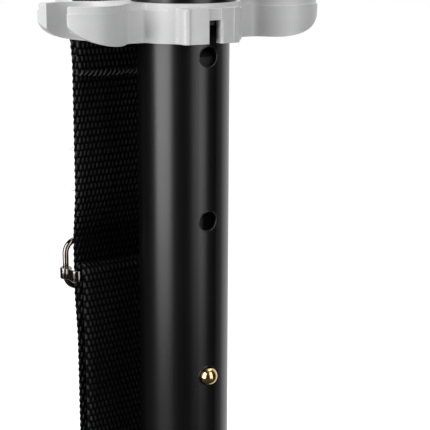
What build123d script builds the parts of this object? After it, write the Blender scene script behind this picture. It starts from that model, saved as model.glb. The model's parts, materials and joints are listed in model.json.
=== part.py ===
from build123d import *
import os
from math import asin, atan2, cos, degrees, pi, radians, sin, sqrt

# Adjustable quad walking cane: a bent handle tube, a holed shaft tube and a foot tube on a four-legged
# base, with a moulded clip collar and a webbing strap behind the shaft.
# Millimetres. +Z is up and the floor is Z = 0. The shaft's axis is the Z axis.
# The row of holes and the snap button face -Y, the strap hangs on the +Y side, the clips point to +-X.

# ---- tubes of the shaft
handle_tube_od = 25.0
handle_tube_wall = 1.3
shaft_tube_od = 22.0
shaft_tube_wall = 1.2
foot_tube_od = 19.0
foot_tube_wall = 1.2

# ---- height setting
hole_diameter = 4.8
hole_pitch = 39.0
holes_above_button = 2       # free holes between the button and the collar
holes_below_button = 4       # free holes under the button
hole_to_tube_end = 22.0      # lowest hole to the lower end of the shaft tube
nut_to_base_gap = 6.0        # left between the nut and the base when the cane is at its shortest
hole_to_collar = 3.3         # top hole's centre to the underside of the collar

# ---- clearances
running_gap = 0.06           # radial, between parts that slide or turn on each other
fit_gap = 0.02               # radial, between parts that are fixed to each other
face_gap = 0.3               # between webbing and what it goes round, and between its layers
cut_past = 1.0               # how far a cutting shape stands past what it cuts
weld_overlap = 0.5           # how far welded metal runs into its neighbour

# ---- snap button and its spring
button_diameter = 4.3
button_stands_out = 2.4      # from the shaft tube's outside to the top of the dome
button_dome_height = 1.5
button_flange_diameter = 6.2
button_flange_thickness = 0.7
button_flange_gap = 0.2      # flange to the curved bore
spring_width = 5.0
spring_thickness = 0.5
spring_length = 46.0         # button to the bend at its top
spring_pad = 5.0             # straight run above and below the button
spring_slope = 3.0           # how far the front leg comes back on its way up
spring_tail = 8.0            # end of the rear leg below the button
spring_bend_radii = [8.0, 2.5, 2.5]
button_side_gap = 0.25       # between the button and its holes in the foot tube
glide_above_button = 74.0    # top end of the foot tube above the button
glide_length = 9.0
glide_head = 5.0
glide_bevel = 1.2
glide_wall = 2.5

# ---- clip collar
collar_height = 9.0
collar_bevel_height = 1.5
collar_bevel_inset = 0.35
collar_ring_radius = 13.8
collar_seat_height = 4.0     # underside of the collar to the lower end of the handle tube
pad_width = 14.7
pad_front = 15.1             # shaft axis to the middle of the pad's ribs
pad_crown = 0.8              # how far the pad's face falls back at its ends
pad_height = 8.0
pad_turn = -2.4              # degrees about the shaft, from the line of holes
pad_shift = -0.35            # middle of the pad from the middle of its slot
pad_edge_radii = (0.9, 0.8)  # left and right edge of its face
pad_root_radii = (1.8, 0.5)  # where its left and right side meet the ring
pad_rib_widths = (1.1, 1.9)  # ribs at the left and right end of its face
pad_rib_height = 0.3         # they stand out from the face
slot_pocket_width = 7.0      # space behind the slot
slot_width = 3.2
slot_height = 5.3
slot_recess_depth = 0.4      # above the slot, from the face between the ribs
slot_edge_radius = 1.1       # right edge of the slot
clip_bore_radius = 8.0       # holds a 16 mm tube
clip_wall = 2.2
clip_reach = 27.2            # shaft axis to the clip's centre
clip_mouth_angle = 46.0      # degrees from the clip's axis to the end of each arm
clip_web_width = 8.6
clip_web_fillets = (1.0, 3.0)  # web to the ring, and web to the clip
clip_tip_run = 14.0          # length of the curve under the tips
clip_tip_rise = 7.0          # its height
clip_tip_past_end = 0.6      # the curve is still rising where the tips end
tube_above_rivets = 14.0     # upper rivet to the top end of the shaft tube

# ---- strap yoke, on the collar and on the lower anchor
strap_distance = 19.6        # shaft axis to the collar's strap pin
anchor_pin_distance = 17.4   # shaft axis to the lower anchor's pin
strap_pin_diameter = 3.5
strap_pin_bevel = 0.3
strap_pin_height = 5.4       # above the underside of the collar or anchor
yoke_cheek = 2.4
yoke_bar = 2.6
yoke_height = 6.2
yoke_lift = 2.2              # underside of the collar or anchor to the underside of the yoke
yoke_root_reach = 4.6        # how far the middle of its bar runs in to the ring
yoke_radii = (1.08, 1.6, 0.8)  # cheek ends, outer corners, inner corners
anchor_height = 11.0
anchor_wall = 2.0
anchor_pitches_down = 2.5    # its middle below the button, in hole pitches, so that it lies between holes
anchor_bevel = 0.6
yoke_end_wall = 2.2          # past the pin, at the cheeks' rear ends
yoke_side_gap = 0.7          # between the webbing's edges and the cheeks
collar_to_yoke = 2.0         # space between the collar's ring and the yoke's bar

# ---- strap and its slider
webbing_width = 38.0
webbing_thickness = 1.5
strap_tail = 15.0            # sewn end below the collar's pin
strap_ease = 12.0            # length over which the loop round the collar's pin closes
fold_tail = 14.0             # sewn end behind the slider's bar
slider_distance = 21.2       # shaft axis to the middle of the webbing's rear layers at the slider
slider_bow_run = 12.0        # length over which the strap comes out to the slider
slider_below_collar = 58.1   # middle of the slider below the underside of the collar
slider_wire = 1.4
slider_height = 13.7
slider_side_gap = 0.75
slider_corner_radius = 3.0
slider_bar_height = 2.9
slider_bar_thickness = 0.9
slider_bar_drop = 2.2        # bar below the middle of the frame
slider_eye_wall = 0.75
slider_bar_bend = 1.2

# ---- locking nut and its split bush
nut_outer_radius = 16.0
nut_height = 27.0
nut_flutes = 16
nut_flute_radius = 1.6
nut_flute_depth = 0.72
nut_flute_start = 3.5        # above the nut's lower end
nut_floor = 3.0
nut_low_bevel = (1.5, 3.0)   # inward and along
nut_top_bevel = (2.0, 5.0)
nut_foot_gap = 0.5           # nut to the foot tube
bush_wall = 1.6
bush_on_tube = 16.0          # length over the shaft tube
bush_below_tube = 7.0        # length of the gripping fingers below the tube
bush_slits = 6
bush_slit_width = 1.2
bush_slit_stop = 1.0         # slits end this far under the tube
bush_taper = 1.6             # its fingers get thinner towards their ends
bush_taper_height = 3.5

# ---- handle
handle_rise = 208.0          # collar to the first bend of the neck
neck_offset = 52.0
neck_rise = 56.0
neck_top = 74.0              # end of the slope to the grip's axis
neck_bend_radius = 42.0
neck_top_radius = 30.0
grip_back = 96.0             # shaft axis to the rear end of the handle tube
grip_front = 22.0            # shaft axis to the front end of the grip
grip_diameter = 34.0         # at its waists
grip_swell = 1.6             # how far each finger swell stands out
grip_swells = 4
grip_end_radius = 2.4
plug_head = 3.5
plug_overhang = 1.5          # past the handle tube's outside
plug_rounding = 2.0
plug_depth = 14.0

# ---- base
stem_wall = 2.2
stem_bottom = 56.0
stem_top = 104.0
stem_plate = 3.0
hub_radius = 19.0
hub_bottom = 60.0
hub_top = 82.0
hub_bevel = 2.5
leg_od = 16.0
leg_wall = 1.5
leg_axis_height = 72.0       # where a leg leaves the hub
leg_shoulder_height = 66.0
leg_shoulder_inset = 16.0    # shoulder of the leg inside the foot's place
leg_bend_radius = 26.0
leg_root_inset = 2.0         # leg starts this far inside the hub's rim
foot_x = 70.0
foot_y = 82.0
tip_outer_radius = 17.0
tip_edge = 1.0               # bevel round its foot
tip_skirt_height = 5.0
tip_waist = (13.5, 10.0)     # radius and height
tip_throat = (11.8, 16.0)
tip_wall = 2.2
tip_bead_height = 3.0
tip_bead_swell = 0.8
tip_height = 34.0
tip_floor = 8.0
tip_groove_depth = 1.6
tip_groove_width = 2.4
tip_rings = 3
washer_thickness = 1.5
washer_rim = 0.5             # past the leg's bore in the tip
washer_gap = 0.1

# ---- fasteners
rivet_diameter = 4.0
rivet_head_diameter = 7.0
rivet_head_height = 1.3
rivet_head_rounding = 0.9
rivet_spacing = 26.0
rivet_above_glide = 9.0      # lower rivet above the glide when the cane is at its shortest
bolt_diameter = 5.0
bolt_head_diameter = 8.5
bolt_head_height = 3.4
bolt_head_rounding = 1.6
bolt_socket_radius = 2.3
bolt_socket_depth = 1.8
bolt_past_nut = 1.5
bolt_below_stem_top = 12.0
nut_across_flats = 8.0
nut_thickness = 4.0

# ---- worked-out sizes
handle_r = handle_tube_od / 2
shaft_r = shaft_tube_od / 2
shaft_bore = shaft_r - shaft_tube_wall
foot_r = foot_tube_od / 2
foot_bore = foot_r - foot_tube_wall
shaft_bottom = stem_top + nut_to_base_gap + holes_above_button * hole_pitch + bush_below_tube + nut_floor
button_z = shaft_bottom + hole_to_tube_end + holes_below_button * hole_pitch
collar_z = button_z + holes_above_button * hole_pitch + hole_to_collar
collar_top = collar_z + collar_height
seat_z = collar_z + collar_seat_height
anchor_z = button_z - anchor_pitches_down * hole_pitch - anchor_height / 2
glide_top = button_z + glide_above_button
glide_highest = glide_top + glide_head + holes_above_button * hole_pitch
rivet_heights = [glide_highest + rivet_above_glide + n * rivet_spacing for n in range(2)]
shaft_top = rivet_heights[-1] + tube_above_rivets
slider_z = collar_z - slider_below_collar
clip_outer = clip_bore_radius + clip_wall
neck_start = collar_top + handle_rise
grip_axis_z = neck_start + neck_rise + neck_top
leg_r = leg_od / 2
stem_bore = foot_r + fit_gap
stem_r = stem_bore + stem_wall
bolt_z = stem_top - bolt_below_stem_top
foot_reach = sqrt(foot_x**2 + foot_y**2)
leg_end = tip_floor + washer_thickness
yoke_inside = webbing_width / 2 + yoke_side_gap
yoke_outside = yoke_inside + yoke_cheek
strap_mid = webbing_thickness / 2
layer_offset = strap_mid + face_gap / 2       # each layer's middle from the strap's middle plane
tip_bore = leg_r + fit_gap
nut_bottom = shaft_bottom - bush_below_tube - nut_floor


def cylinder(radius, low, high, x=0, y=0):
    """An upright cylinder between two heights."""
    return Pos(x, y, (low + high) / 2) * Cylinder(radius, high - low)


def tube(outer, inner, low, high):
    """An upright round tube between two heights."""
    return cylinder(outer, low, high) - cylinder(inner, low - cut_past, high + cut_past)


def along_y(radius, near, far, z, x=0):
    """A cylinder along Y, from one place to another."""
    return Pos(x, (near + far) / 2, z) * Rot(90, 0, 0) * Cylinder(radius, far - near)


def box(x, y, z):
    """A box between pairs of places along each axis."""
    size = [b - a for a, b in (x, y, z)]
    middle = [(a + b) / 2 for a, b in (x, y, z)]
    return Pos(*middle) * Box(*size)


def extruded(sketch, low, high):
    """A plan outline as a solid between two heights."""
    return extrude(Pos(0, 0, low) * sketch, high - low)


def side_profile(points):
    """A closed outline of radius and height, ready to revolve about the shaft's axis."""
    return make_face(Plane.XZ * Polyline(*points, close=True))


def pipe(path, outer, inner):
    """A round tube along a path."""
    start = Plane(origin=path @ 0, z_dir=path % 0)
    body = sweep(start * Circle(outer), path)
    if inner:
        body -= sweep(start * Circle(inner), path)
    return body


def save(name, shape):
    """Writes one named piece."""
    solids = shape.solids() if hasattr(shape, "solids") else [shape]
    piece = solids[0] if len(solids) == 1 else Compound(children=solids)
    piece.label = name
    export_step(piece, f"parts/{name}.step")


# ---- tubes

def make_handle_tube():
    """The upper tube: straight from the collar, forward through the neck and back over the shaft."""
    points = [
        (0, 0, seat_z),
        (0, 0, neck_start),
        (0, -neck_offset, neck_start + neck_rise),
        (0, -neck_offset, grip_axis_z),
        (0, grip_back, grip_axis_z),
    ]
    path = FilletPolyline(*points, radius=[neck_bend_radius, neck_bend_radius, neck_top_radius])
    bent = pipe(path, handle_r, handle_r - handle_tube_wall)
    for z in rivet_heights:
        bent -= rivet_hole(z)
    return bent


def rivet_hole(z):
    """What a rivet takes out of the tubes and the sleeve."""
    return along_y(rivet_diameter / 2, -handle_r - cut_past, handle_r + cut_past, z)


def make_shaft_tube():
    """The middle tube, with its row of holes."""
    body = tube(shaft_r, shaft_bore, shaft_bottom, shaft_top)
    for n in range(-holes_below_button, holes_above_button + 1):
        body -= along_y(hole_diameter / 2, -shaft_r - cut_past, 0, button_z + n * hole_pitch)
    for z in rivet_heights:
        body -= rivet_hole(z)
    return body


def make_foot_tube():
    """The inner tube, from the base up into the shaft tube."""
    body = tube(foot_r, foot_bore, stem_bottom + stem_plate, glide_top)
    body -= along_y(button_diameter / 2 + button_side_gap, -foot_r - cut_past, 0, button_z)
    return body - along_y(bolt_diameter / 2, -foot_r - cut_past, foot_r + cut_past, bolt_z)


def make_handle_sleeve():
    """Plastic sleeve that fills the space between the shaft tube and the handle tube."""
    inner = shaft_r + fit_gap
    outer = handle_r - handle_tube_wall - fit_gap
    sleeve = tube(outer, inner, seat_z, shaft_top)
    for z in rivet_heights:
        sleeve -= rivet_hole(z)
    return sleeve


def make_top_glide():
    """Plug in the foot tube's top end; its head slides in the shaft tube."""
    stem = cylinder(foot_bore - fit_gap, glide_top - glide_length, glide_top)
    head = cylinder(shaft_bore - running_gap, glide_top, glide_top + glide_head)
    head = chamfer(head.edges().group_by(Axis.Z)[-1], glide_bevel)
    bore = cylinder(foot_bore - glide_wall, glide_top - glide_length - cut_past, glide_highest)
    return stem + head - bore


# ---- collar

def clip_outline():
    """Plan of the collar's ring and its two open clips, before the bores are cut."""
    outline = Circle(collar_ring_radius)
    for side in (-1, 1):
        outline += Pos(side * clip_reach, 0) * Circle(clip_outer)
        outline += Pos(side * clip_reach / 2, 0) * Rectangle(clip_reach, clip_web_width)
    middle = (collar_ring_radius + clip_reach - clip_outer) / 2
    for radius, near_ring in zip(clip_web_fillets, (True, False)):
        corners = [v for v in outline.vertices() if abs(abs(v.Y) - clip_web_width / 2) < 0.01
                   and (abs(v.X) < middle) == near_ring]
        outline = fillet(corners, radius)
    return outline


def clip_mouth(side):
    """Plan of what is taken out of one clip: its bore and the wedge between its arms."""
    far = clip_outer * 2
    rise = far * sin(radians(clip_mouth_angle)) / cos(radians(clip_mouth_angle))
    wedge = make_face(Polyline((0, 0), (far, rise), (far, -rise), close=True))
    cut = Circle(clip_bore_radius) + wedge
    return Pos(side * clip_reach, 0) * Rot(0, 0, 0 if side > 0 else 180) * cut


def tip_rounding(side):
    """What is cut away under the clip's tips, so that they curve up to their ends."""
    end = clip_reach + clip_outer * cos(radians(clip_mouth_angle)) + clip_tip_past_end
    start, far = end - clip_tip_run, end + clip_outer
    curve = EllipticalCenterArc((start, clip_tip_rise), clip_tip_run, clip_tip_rise, 270, arc_size=90)
    lines = Polyline(curve @ 1, (far, clip_tip_rise), (far, -cut_past), (start, -cut_past), curve @ 0)
    face = make_face(Plane.XZ * (curve + lines))
    body = Pos(0, 0, collar_z) * extrude(face, clip_outer + cut_past, both=True)
    return body if side > 0 else mirror(body, Plane.YZ)


def pad_face(fall_back, left, right):
    """The crowned line of the pad's face between two places across it, with its height range filled in
    back to the shaft tube."""
    half = pad_width / 2
    front = fall_back - pad_front
    curve = ThreePointArc((-half, front + pad_crown), (0, front), (half, front + pad_crown))
    sides = Polyline(curve @ 1, (half, -shaft_r / 2), (-half, -shaft_r / 2), curve @ 0)
    across = right - left
    strip = Pos((left + right) / 2, -pad_front) * Rectangle(across, 2 * pad_front)
    return Pos(pad_shift, 0) * (make_face(curve + sides) & strip)


def pad_outline():
    """Plan of the pad in front of the ring, with rounded edges and roots."""
    half = pad_width / 2
    back = pad_crown - pad_front
    plan = Circle(collar_ring_radius) + pad_face(0, -half, half)
    for side, edge_radius, root_radius in zip((-1, 1), pad_edge_radii, pad_root_radii):
        place = pad_shift + side * half
        edge = [v for v in plan.vertices() if abs(v.X - place) < 0.01 and v.Y < back + 0.01]
        plan = fillet(edge, edge_radius)
        root = [v for v in plan.vertices() if abs(v.X - place) < 0.01
                and abs(sqrt(v.X**2 + v.Y**2) - collar_ring_radius) < 0.01]
        plan = fillet(root, root_radius)
    reach = half + max(pad_root_radii)
    return plan & Pos(pad_shift, -pad_front) * Rectangle(2 * reach, pad_front)


def slot_outline():
    """Plan of the slot in the pad, with its right edge rounded."""
    half, mouth = slot_width / 2, -pad_front + pad_rib_height
    plan = Pos(0, -pad_front) * Rectangle(slot_width, 2 * pad_front)
    corner = Pos(half + slot_edge_radius / 2, mouth + slot_edge_radius / 2)
    corner *= Rectangle(slot_edge_radius, slot_edge_radius)
    return plan + (corner - Pos(half + slot_edge_radius, mouth + slot_edge_radius) * Circle(slot_edge_radius))


def yoke(z, reach_in, distance):
    """Rear bar and two cheeks that hold a strap pin, above a given underside."""
    low, high = z + yoke_lift, z + yoke_lift + yoke_height
    back = distance + strap_pin_diameter / 2 + yoke_end_wall
    beam = reach_in + yoke_bar
    plan = Pos(0, reach_in + yoke_bar / 2) * Rectangle(2 * yoke_outside, yoke_bar)
    plan += Pos(0, reach_in - yoke_root_reach / 2) * Rectangle(webbing_width / 2, yoke_root_reach)
    for side in (-1, 1):
        middle = side * (yoke_inside + yoke_cheek / 2)
        plan += Pos(middle, (reach_in + back) / 2) * Rectangle(yoke_cheek, back - reach_in)
    end_radius, outer_radius, inner_radius = yoke_radii
    plan = fillet([v for v in plan.vertices() if v.Y > back - 0.1], end_radius)
    plan = fillet([v for v in plan.vertices() if v.Y < reach_in + 0.1 and abs(v.X) > yoke_inside], outer_radius)
    plan = fillet([v for v in plan.vertices() if abs(v.Y - beam) < 0.1], inner_radius)
    body = extruded(plan, low, high)
    pin = Pos(0, distance, z + strap_pin_height) * Rot(0, 90, 0)
    return body - pin * Cylinder(strap_pin_diameter / 2 + fit_gap, 4 * yoke_outside)


def pad_cuts():
    """What is cut out of the pad: its sunk face, its slot, the space above the slot and the one behind."""
    half = pad_width / 2
    left_rib, right_rib = pad_rib_widths
    high = collar_z + pad_height + cut_past
    full = Pos(0, -pad_front) * Rectangle(2 * pad_width, 2 * pad_front)
    sunk = full - pad_face(pad_rib_height, -half, half)
    between = Pos(pad_shift + (left_rib - right_rib) / 2, -pad_front)
    sunk &= between * Rectangle(pad_width - left_rib - right_rib, 2 * pad_crown + 1)
    cuts = extruded(sunk, collar_z - cut_past, high)
    cuts += extruded(slot_outline(), collar_z - cut_past, collar_z + slot_height)
    across, recess_back = slot_width / 2, -pad_front + pad_rib_height + slot_recess_depth
    cuts += box((-across, across), (-pad_front - cut_past, recess_back), (collar_z, high))
    across = slot_pocket_width / 2
    return cuts + box((-across, across), (-handle_r - fit_gap, 0), (collar_z - cut_past, seat_z))


def make_clip_collar():
    """Moulded collar: ring, front pad with its slot, two snap clips and the strap yoke."""
    plan = clip_outline()
    low = extruded(plan, collar_z, collar_top - collar_bevel_height)
    band = offset(plan, -collar_bevel_inset)
    low += extruded(band, collar_top - collar_bevel_height, collar_top)
    for side in (-1, 1):
        low -= extruded(clip_mouth(side), collar_z - cut_past, collar_top + cut_past)
        low -= tip_rounding(side)
    turn = Rot(0, 0, pad_turn)
    low += turn * extruded(pad_outline(), collar_z, collar_z + pad_height)
    low -= turn * pad_cuts()
    reach_in = sqrt(collar_ring_radius**2 - (webbing_width / 4) ** 2) + collar_to_yoke
    low += yoke(collar_z, reach_in, strap_distance)
    low -= cylinder(shaft_r + fit_gap, collar_z - cut_past, collar_top)
    low -= cylinder(handle_r + fit_gap, seat_z, collar_top + cut_past)
    return low


def make_strap_anchor():
    """Lower anchor: a band round the shaft tube with the same yoke as the collar."""
    outer = shaft_r + anchor_wall
    band = tube(outer, shaft_r + fit_gap, anchor_z, anchor_z + anchor_height)
    rims = [e for e in band.edges().filter_by(GeomType.CIRCLE) if abs(e.radius - outer) < 0.01]
    body = chamfer(rims, anchor_bevel) + yoke(anchor_z, outer - yoke_bar, anchor_pin_distance)
    return body - cylinder(shaft_r + fit_gap, anchor_z - cut_past, anchor_z + anchor_height + cut_past)


def strap_pin(z, distance):
    """Steel pin across a yoke."""
    pin = Cylinder(strap_pin_diameter / 2, 2 * yoke_outside)
    pin = chamfer(pin.edges(), strap_pin_bevel)
    return Pos(0, distance, z + strap_pin_height) * Rot(0, 90, 0) * pin


# ---- strap and slider

def make_strap():
    """One length of webbing: sewn round the collar's pin, down behind the slider, round the lower
    anchor's pin and up in front to the slider's bar, where it folds over and is sewn behind."""
    loop = strap_pin_diameter / 2 + face_gap + strap_mid
    bar_loop = slider_bar_thickness / 2 + face_gap + strap_mid
    top = collar_z + strap_pin_height
    low = anchor_z + strap_pin_height
    bar_y = slider_bar_y()
    bar_top = slider_z - slider_bar_drop + slider_bar_height / 2
    front = strap_distance - layer_offset
    back = strap_distance + layer_offset
    behind = slider_distance + layer_offset
    low_back = anchor_pin_distance + loop
    slider_top = slider_z + slider_height / 2
    slider_low = slider_z - slider_height / 2
    settled = (low_back + (behind - low_back) / 3, slider_low - slider_bow_run)
    parts = [
        Line((front, top - strap_tail), (front, top - strap_ease)),
        Line((front, top - strap_ease), (strap_distance - loop, top)),
        CenterArc((strap_distance, top), loop, 180, -180),
        Line((strap_distance + loop, top), (back, top - strap_ease)),
        Line((back, top - strap_ease), (back, slider_top + slider_bow_run)),
        Line((back, slider_top + slider_bow_run), (behind, slider_top)),
        Line((behind, slider_top), (behind, slider_low)),
        Line((behind, slider_low), settled),
        Line(settled, (low_back, low)),
        CenterArc((anchor_pin_distance, low), loop, 0, -180),
        Line((anchor_pin_distance - loop, low), (bar_y - bar_loop, bar_top)),
        CenterArc((bar_y, bar_top), bar_loop, 180, -180),
        Line((bar_y + bar_loop, bar_top), (bar_y + bar_loop, bar_top - fold_tail)),
    ]
    plan = None
    for piece in parts:
        strip = trace(piece, webbing_thickness)
        plan = strip if plan is None else plan + strip
    for piece in parts[:-1]:
        plan += Pos(*(piece @ 1)) * Circle(strap_mid)
    # the plan is drawn as (Y, Z) and extruded across X
    return extrude(Plane.YZ * plan, webbing_width / 2, both=True)


def slider_bar_y():
    """Middle of the slider's bar: in front of the strap's back layer, inside the sewn end."""
    clear_of_back = slider_distance + layer_offset - strap_mid - face_gap
    return clear_of_back - webbing_thickness - face_gap - slider_bar_thickness / 2


def slider_frame_y():
    """Middle plane of the slider's wire frame, behind the strap."""
    return slider_distance + layer_offset + strap_mid + face_gap + slider_wire / 2


def slider_half_width():
    """Middle of the frame's side wires."""
    return webbing_width / 2 + slider_side_gap + slider_wire / 2


def make_slider_frame():
    """Closed wire frame of the strap's slider."""
    wide = 2 * slider_half_width()
    high = slider_height - slider_wire
    outline = RectangleRounded(wide, high, slider_corner_radius)
    path = Plane(origin=(0, slider_frame_y(), slider_z), x_dir=(1, 0, 0), z_dir=(0, -1, 0)) * outline
    wire = path.wire()
    start = Plane(origin=wire @ 0, z_dir=wire % 0)
    return sweep(start * Circle(slider_wire / 2), wire)


def make_slider_bar():
    """Flat bar in front of the strap, with an eye curled round each side of the frame."""
    half = slider_half_width()
    near, far = slider_bar_y(), slider_frame_y()
    points = [(-half, far), (-half, near), (half, near), (half, far)]
    plan = trace(FilletPolyline(*points, radius=slider_bar_bend), slider_bar_thickness)
    hole = slider_wire / 2 + running_gap
    for side in (-1, 1):
        plan += Pos(side * half, far) * Circle(hole + slider_eye_wall)
    for side in (-1, 1):
        plan -= Pos(side * half, far) * Circle(hole)
    middle = slider_z - slider_bar_drop
    return extruded(plan, middle - slider_bar_height / 2, middle + slider_bar_height / 2)


# ---- snap button

def make_snap_button():
    """Brass button with a domed end and a flange inside the foot tube, pointing to -Y."""
    radius = button_diameter / 2
    tip = shaft_r + button_stands_out
    flange = button_flange_back()
    outline = [
        (0, flange),
        (button_flange_diameter / 2, flange),
        (button_flange_diameter / 2, flange + button_flange_thickness),
        (radius, flange + button_flange_thickness),
        (radius, tip - button_dome_height),
    ]
    sphere = (radius**2 + button_dome_height**2) / (2 * button_dome_height)
    half_turn = asin(radius / sphere) / 2
    middle = (sphere * sin(half_turn), tip - sphere * (1 - cos(half_turn)))
    dome = ThreePointArc((radius, tip - button_dome_height), middle, (0, tip))
    face = make_face(Polyline(*outline) + dome + Line((0, tip), (0, flange)))
    return Pos(0, 0, button_z) * Rot(180, 0, 0) * revolve(face, Axis.Y)


def button_flange_back():
    """Inner face of the button's flange, clear of the foot tube's curved bore."""
    half = button_flange_diameter / 2
    return sqrt(foot_bore**2 - half**2) - button_flange_gap - button_flange_thickness


def make_button_spring():
    """Bent leaf spring: one leg carries the button, the other lies on the far side of the bore."""
    front = -button_flange_back() + spring_thickness / 2
    back = sqrt(foot_bore**2 - (spring_width / 2) ** 2) - spring_thickness / 2 - fit_gap
    points = [
        (front, button_z - spring_pad),
        (front, button_z + spring_pad),
        (front + spring_slope, button_z + spring_length),
        (back, button_z + spring_length),
        (back, button_z - spring_tail),
    ]
    path = FilletPolyline(*points, radius=spring_bend_radii)
    plan = trace(path, spring_thickness)
    return extrude(Plane.YZ * plan, spring_width / 2, both=True)


# ---- locking nut

def bush_radius():
    """Outside of the split bush, which the locking nut turns on."""
    return shaft_r + fit_gap + bush_wall


def make_split_bush():
    """Bush over the lower end of the shaft tube, with slit fingers that grip the foot tube."""
    top = shaft_bottom + bush_on_tube
    low = shaft_bottom - bush_below_tube
    outer = bush_radius()
    inner = shaft_r + fit_gap
    grip = foot_r + running_gap
    profile = side_profile([
        (grip, low),
        (outer - bush_taper, low),
        (outer, low + bush_taper_height),
        (outer, top),
        (inner, top),
        (inner, shaft_bottom),
        (grip, shaft_bottom),
    ])
    body = revolve(profile, Axis.Z)
    for n in range(bush_slits // 2):
        half = bush_slit_width / 2
        slit = box((-outer - 1, outer + 1), (-half, half), (low - cut_past, shaft_bottom - bush_slit_stop))
        body -= Rot(0, 0, 180 * n / (bush_slits // 2)) * slit
    return body


def make_locking_nut():
    """Fluted nut that closes the bush's fingers onto the foot tube."""
    bore = bush_radius() + running_gap
    low = nut_bottom
    high = low + nut_height
    profile = side_profile([
        (foot_r + nut_foot_gap, low),
        (nut_outer_radius - nut_low_bevel[0], low),
        (nut_outer_radius, low + nut_low_bevel[1]),
        (nut_outer_radius, high - nut_top_bevel[1]),
        (nut_outer_radius - nut_top_bevel[0], high),
        (bore, high),
        (bore, low + nut_floor + bush_taper_height),
        (bore - bush_taper, low + nut_floor),
        (foot_r + nut_foot_gap, low + nut_floor),
    ])
    body = revolve(profile, Axis.Z)
    flute_distance = nut_outer_radius + nut_flute_radius - nut_flute_depth
    for n in range(nut_flutes):
        angle = 2 * pi * n / nut_flutes
        x, y = flute_distance * cos(angle), flute_distance * sin(angle)
        body -= cylinder(nut_flute_radius, low + nut_flute_start, high + cut_past, x, y)
    return body


# ---- handle

def make_grip():
    """Soft round grip over the rear run of the handle tube, waisted between its finger swells."""
    length = grip_back + grip_front
    inner = handle_r + fit_gap
    waves = 2 * grip_swells
    points = []
    for n in range(waves + 1):
        grow = grip_swell if n % 2 else 0
        points.append((grip_diameter / 2 + grow, length * n / waves))
    side = Spline(*points, tangents=[(0, 1), (0, 1)])
    lines = Polyline(points[-1], (inner, length), (inner, 0), points[0])
    body = revolve(make_face(side + lines), Axis.Y)
    outer = [e for e in body.edges().filter_by(GeomType.CIRCLE) if e.radius > inner + 1]
    return Pos(0, -grip_front, grip_axis_z) * fillet(outer, grip_end_radius)


def make_grip_plug():
    """Plug that closes the rear end of the handle tube."""
    bore = handle_r - handle_tube_wall - fit_gap
    body = along_y(bore, grip_back - plug_depth, grip_back, grip_axis_z)
    head = along_y(handle_r + plug_overhang, grip_back, grip_back + plug_head, grip_axis_z)
    head = fillet(head.edges().group_by(Axis.Y)[-1], plug_rounding)
    return body + head


# ---- base

def make_base_stem():
    """Steel stem that takes the foot tube, with its floor plate and the hub the legs are welded to."""
    stem = tube(stem_r, stem_bore, stem_bottom, stem_top)
    floor = cylinder(stem_r, stem_bottom, stem_bottom + stem_plate)
    hub = tube(hub_radius, stem_r - weld_overlap, hub_bottom, hub_top)
    rims = [e for e in hub.edges().filter_by(GeomType.CIRCLE) if abs(e.radius - hub_radius) < 0.01]
    hub = chamfer(rims, hub_bevel)
    bolt = along_y(bolt_diameter / 2, -hub_radius - cut_past, hub_radius + cut_past, bolt_z)
    return stem + floor + hub - bolt


def leg_points():
    """Radius and height of a leg's path, out from the hub and down to its foot."""
    return [
        (hub_radius - leg_root_inset, leg_axis_height),
        (foot_reach - leg_shoulder_inset, leg_shoulder_height),
        (foot_reach, leg_end),
    ]


def foot_angle(side_x, side_y):
    """Direction of a leg in plan, as a location that turns the pattern leg to it."""
    return Rot(0, 0, degrees(atan2(side_y * foot_y, side_x * foot_x)))


def make_leg():
    """One bent leg, in the plane of X and Z."""
    points = [(x, 0, z) for x, z in leg_points()]
    path = FilletPolyline(*points, radius=leg_bend_radius)
    body = pipe(path, leg_r, leg_r - leg_wall)
    body -= cylinder(hub_radius + fit_gap, hub_bottom - leg_od, hub_top + leg_od)
    return body - box((0, 2 * foot_reach), (-leg_od, leg_od), (0, leg_end))


def make_tip():
    """Rubber tip at the end of the pattern leg: a bell with a flared, grooved foot."""
    neck = tip_bore + tip_wall
    bead = neck + tip_bead_swell
    side = [
        (0, 0),
        (tip_outer_radius - tip_edge, 0),
        (tip_outer_radius, tip_edge),
        (tip_outer_radius, tip_skirt_height),
        tip_waist,
        tip_throat,
        (neck, tip_height - tip_bead_height - tip_bead_swell),
        (bead, tip_height - tip_bead_height),
        (bead, tip_height),
        (0, tip_height),
    ]
    body = revolve(side_profile(side), Axis.Z)
    for n in range(tip_rings):
        middle = tip_outer_radius * (n + 1) / (tip_rings + 1)
        half = tip_groove_width / 2
        body -= tube(middle + half, middle - half, -tip_groove_depth, tip_groove_depth)
    body = Pos(foot_reach, 0, 0) * body
    knee, end = [(x, 0, z) for x, z in leg_points()][1:]
    up = Vector(*knee) - Vector(*end)
    room = Plane(origin=end, z_dir=up) * Pos(0, 0, tip_height / 2) * Cylinder(tip_bore, 3 * tip_height)
    room -= box((0, 2 * foot_reach), (-tip_height, tip_height), (-2 * tip_height, leg_end))
    washer_room = tip_bore + washer_rim + washer_gap
    return body - room - cylinder(washer_room, tip_floor, leg_end, foot_reach)


def make_washer():
    """Steel washer under the end of a leg, inside its rubber tip."""
    return cylinder(tip_bore + washer_rim, tip_floor, leg_end, foot_reach)


# ---- fasteners

def make_rivet(z):
    """Rivet through the handle tube, its sleeve and the shaft tube, along Y."""
    reach = sqrt(handle_r**2 - (rivet_diameter / 2) ** 2)
    shank = along_y(rivet_diameter / 2 - fit_gap, -handle_r, handle_r, z)
    for side in (-1, 1):
        head = Cylinder(rivet_head_diameter / 2, rivet_head_height)
        head = fillet(head.edges().group_by(Axis.Z)[-1], rivet_head_rounding)
        middle = side * (handle_r + rivet_head_height / 2)
        shank += Pos(0, middle, z) * Rot(-90 * side, 0, 0) * head
    return shank


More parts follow.
